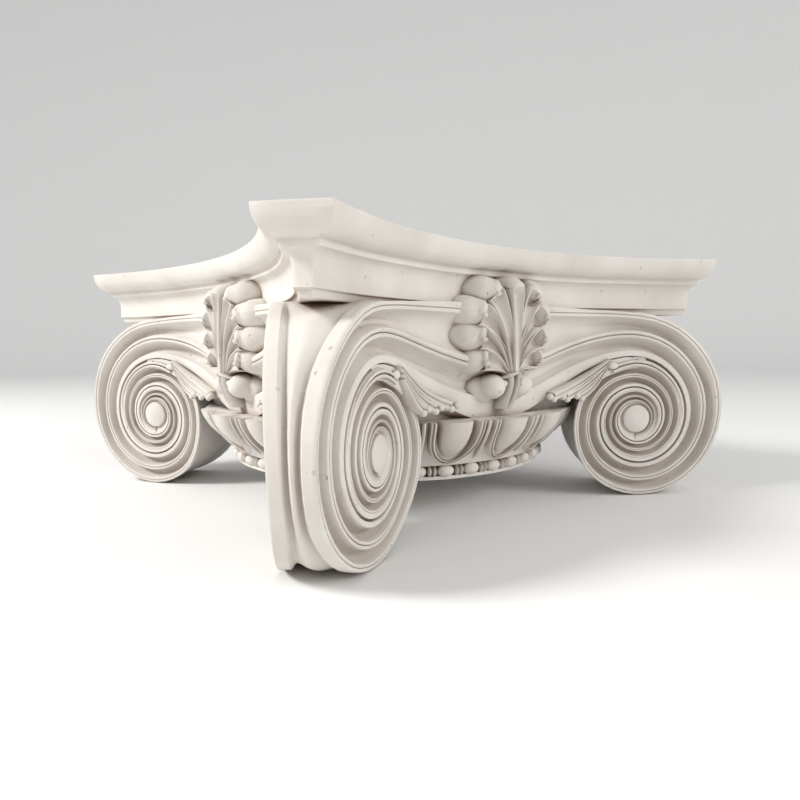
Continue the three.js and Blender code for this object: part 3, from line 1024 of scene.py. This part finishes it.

# Painted shade: ambient occlusion over 9 mm pulls the colour towards a warm brown in hollows, creases
# and under overhangs.
hollow = tree.nodes.new("ShaderNodeAmbientOcclusion")
hollow.inputs["Distance"].default_value = 9 * MM
hollow.samples = 8
painted_shade = tree.nodes.new("ShaderNodeMapRange")
painted_shade.inputs["From Min"].default_value = 0.08
painted_shade.inputs["From Max"].default_value = 0.74
painted_shade.inputs["To Min"].default_value = 0.95
painted_shade.inputs["To Max"].default_value = 0
link(tree, hollow.outputs["AO"], painted_shade.inputs["Value"])
coloured = tree.nodes.new("ShaderNodeMix")
coloured.data_type = "RGBA"
coloured.inputs[7].default_value = HOLLOW_PAINTED_SHADE
link(tree, painted_shade.outputs["Result"], coloured.inputs[0])
link(tree, body_colour.outputs[2], coloured.inputs[6])
link(tree, coloured.outputs[2], surface.inputs["Base Color"])

grit = tree.nodes.new("ShaderNodeTexNoise")
grit.inputs["Scale"].default_value = 420
grit.inputs["Detail"].default_value = 4
link(tree, where.outputs["Object"], grit.inputs["Vector"])
grit_bump = tree.nodes.new("ShaderNodeBump")
grit_bump.inputs["Strength"].default_value = 0.25
grit_bump.inputs["Distance"].default_value = 0.6 * MM
link(tree, grit.outputs["Fac"], grit_bump.inputs["Height"])

# Faint level streaks from the running mould and a few pits from air in the mix.
streak_room = tree.nodes.new("ShaderNodeMapping")
streak_room.inputs["Scale"].default_value = (12, 12, 420)
link(tree, where.outputs["Object"], streak_room.inputs["Vector"])
streaks = tree.nodes.new("ShaderNodeTexNoise")
streaks.inputs["Scale"].default_value = 1
streaks.inputs["Detail"].default_value = 2
link(tree, streak_room.outputs["Vector"], streaks.inputs["Vector"])
streak_bump = tree.nodes.new("ShaderNodeBump")
streak_bump.inputs["Strength"].default_value = 0.22
streak_bump.inputs["Distance"].default_value = 0.8 * MM
link(tree, streaks.outputs["Fac"], streak_bump.inputs["Height"])
link(tree, grit_bump.outputs["Normal"], streak_bump.inputs["Normal"])
air = tree.nodes.new("ShaderNodeTexVoronoi")
air.inputs["Scale"].default_value = 75
link(tree, where.outputs["Object"], air.inputs["Vector"])
pits = tree.nodes.new("ShaderNodeMapRange")
pits.inputs["From Min"].default_value = 0.03
pits.inputs["From Max"].default_value = 0.1
link(tree, air.outputs["Distance"], pits.inputs["Value"])
pit_bump = tree.nodes.new("ShaderNodeBump")
pit_bump.inputs["Strength"].default_value = 0.8
pit_bump.inputs["Distance"].default_value = 1 * MM
link(tree, pits.outputs["Result"], pit_bump.inputs["Height"])
link(tree, streak_bump.outputs["Normal"], pit_bump.inputs["Normal"])
link(tree, pit_bump.outputs["Normal"], surface.inputs["Normal"])

capital.data.materials.clear()
capital.data.materials.append(plaster)
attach(capital, "root")
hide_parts("ionic_capital")

# Floor: a plain pale sheet that turns up into a wall all round, far from the capital. It only carries
# the capital and is no part of it.
FLOOR_RADIUS = 3
FLOOR_COLOUR = (0.9, 0.9, 0.9, 1)
WALL_RISE = [(3.25, 0.04), (3.5, 0.16), (3.7, 0.35), (3.85, 0.65), (3.95, 1.05), (4, 1.5), (4.02, 3.2)]

deselect_all()
bpy.ops.mesh.primitive_circle_add(vertices=96, radius=FLOOR_RADIUS, fill_type="NGON", location=(0, 0, 0))
bpy.ops.object.mode_set(mode="EDIT")
bpy.ops.mesh.select_mode(type="EDGE")
bpy.ops.mesh.select_all(action="SELECT")
at_radius, at_height = FLOOR_RADIUS, 0
for radius, rise in WALL_RISE:
    bpy.ops.mesh.extrude_edges_move(TRANSFORM_OT_translate={"value": (0, 0, rise - at_height)})
    wider = radius / at_radius
    bpy.ops.transform.resize(value=(wider, wider, 1), center_override=(0, 0, 0))
    at_radius, at_height = radius, rise
bpy.ops.object.mode_set(mode="OBJECT")
bpy.ops.object.shade_smooth()
floor = named("floor")
floor_paint = bpy.data.materials.new("pale_floor")
floor_paint.use_nodes = True
floor_shader = floor_paint.node_tree.nodes["Principled BSDF"]
floor_shader.inputs["Base Color"].default_value = FLOOR_COLOUR
floor_shader.inputs["Roughness"].default_value = 0.95
floor.data.materials.append(floor_paint)

# Studio light: a soft white room, a broad lamp high on the left and a wider, weaker one on the right in
# front, so that the near corner between them stays a little darker.
ROOM_BRIGHTNESS = 0.5
LAMP_AIM = Vector((0, 0, 0.08))
# Each lamp: name, place, size and power.
LAMPS = [
    ("left_lamp", (-1.8, 0.45, 1.4), 0.6, 43),
    ("right_lamp", (0.8, -2, 1.1), 1.2, 20),
]

room = bpy.context.scene.world or bpy.data.worlds.new("room")
bpy.context.scene.world = room
room.use_nodes = True
room.node_tree.nodes["Background"].inputs["Color"].default_value = (1, 1, 1, 1)
room.node_tree.nodes["Background"].inputs["Strength"].default_value = ROOM_BRIGHTNESS
for name, place, size, power in LAMPS:
    light = bpy.data.lights.new(name, "AREA")
    light.shape = "DISK"
    light.size = size
    light.energy = power
    light.color = (1, 0.985, 0.96)
    lamp = bpy.data.objects.new(name, light)
    lamp.location = place
    lamp.rotation_euler = (LAMP_AIM - lamp.location).to_track_quat("-Z", "Y").to_euler()
    bpy.context.collection.objects.link(lamp)
bpy.context.scene.view_settings.view_transform = "Standard"

# Camera: close to the near corner and a little above the middle of the capital, as the photograph was
# taken.
LENS = 27.397
CAMERA_PLACE = Vector((-0.33813, -0.46787, 0.130))
CAMERA_YAW = 0.92446
CAMERA_PITCH = -0.08904
CAMERA_ROLL = -0.00746

ahead = Vector(
    (
        math.cos(CAMERA_YAW) * math.cos(CAMERA_PITCH),
        math.sin(CAMERA_YAW) * math.cos(CAMERA_PITCH),
        math.sin(CAMERA_PITCH),
    )
)
level = Vector((math.sin(CAMERA_YAW), -math.cos(CAMERA_YAW), 0))
upward = level.cross(ahead)
right = level * math.cos(CAMERA_ROLL) + upward * math.sin(CAMERA_ROLL)
top = upward * math.cos(CAMERA_ROLL) - level * math.sin(CAMERA_ROLL)
camera_data = bpy.data.cameras.new("camera")
camera_data.lens = LENS
camera_data.sensor_width = 36
camera_data.clip_start = 0.01
camera = bpy.data.objects.new("camera", camera_data)
camera.matrix_world = Matrix((right, top, -ahead)).transposed().to_4x4()
camera.location = CAMERA_PLACE
bpy.context.collection.objects.link(camera)
bpy.context.scene.camera = camera

capital_faces = sum(len(face.vertices) - 2 for face in capital.data.polygons)
print("capital triangles", capital_faces)
